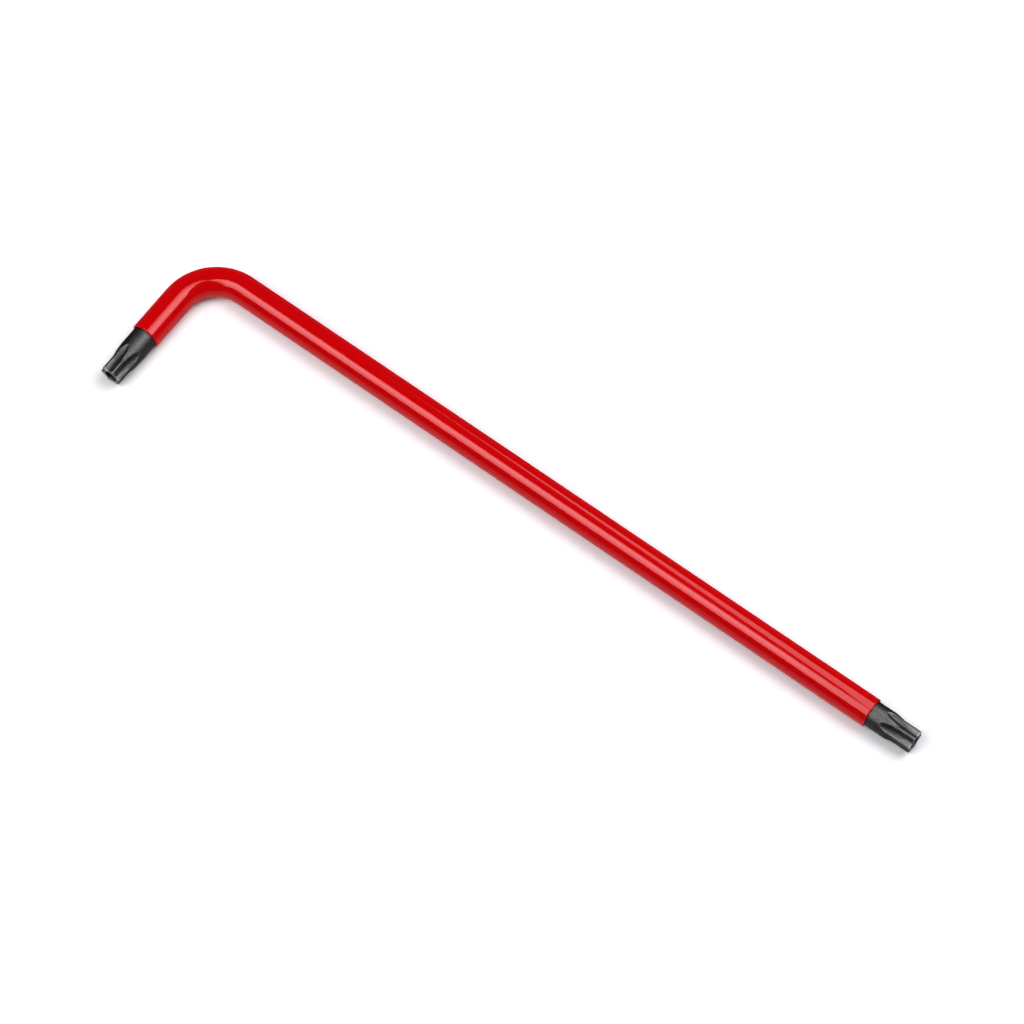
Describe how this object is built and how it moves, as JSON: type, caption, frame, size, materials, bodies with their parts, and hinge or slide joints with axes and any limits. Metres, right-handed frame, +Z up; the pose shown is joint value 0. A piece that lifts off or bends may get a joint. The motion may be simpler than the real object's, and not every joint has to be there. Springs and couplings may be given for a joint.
{
  "type": "star key",
  "caption": "L-shaped star key: a bent bar of blackened steel with a fluted star end on each arm, bored for security screws, in a glossy red plastic sleeve.",
  "frame": {"origin": "centre of the bounding box's footprint, on the plane that the sleeve rests on when the key lies flat", "axes": "+X along the long arm towards its tip, -Y along the short arm towards its tip, +Z up from the surface the key lies on"},
  "size_m": [0.1954, 0.038, 0.0068],
  "materials": {
    "blackened_steel": "blackened, satin, with brighter worn edges",
    "red_plastic": "smooth gloss"
  },
  "bodies": {
    "root": {"steel_bar": "blackened_steel", "grip_sleeve": "red_plastic"}
  },
  "joints": []
}
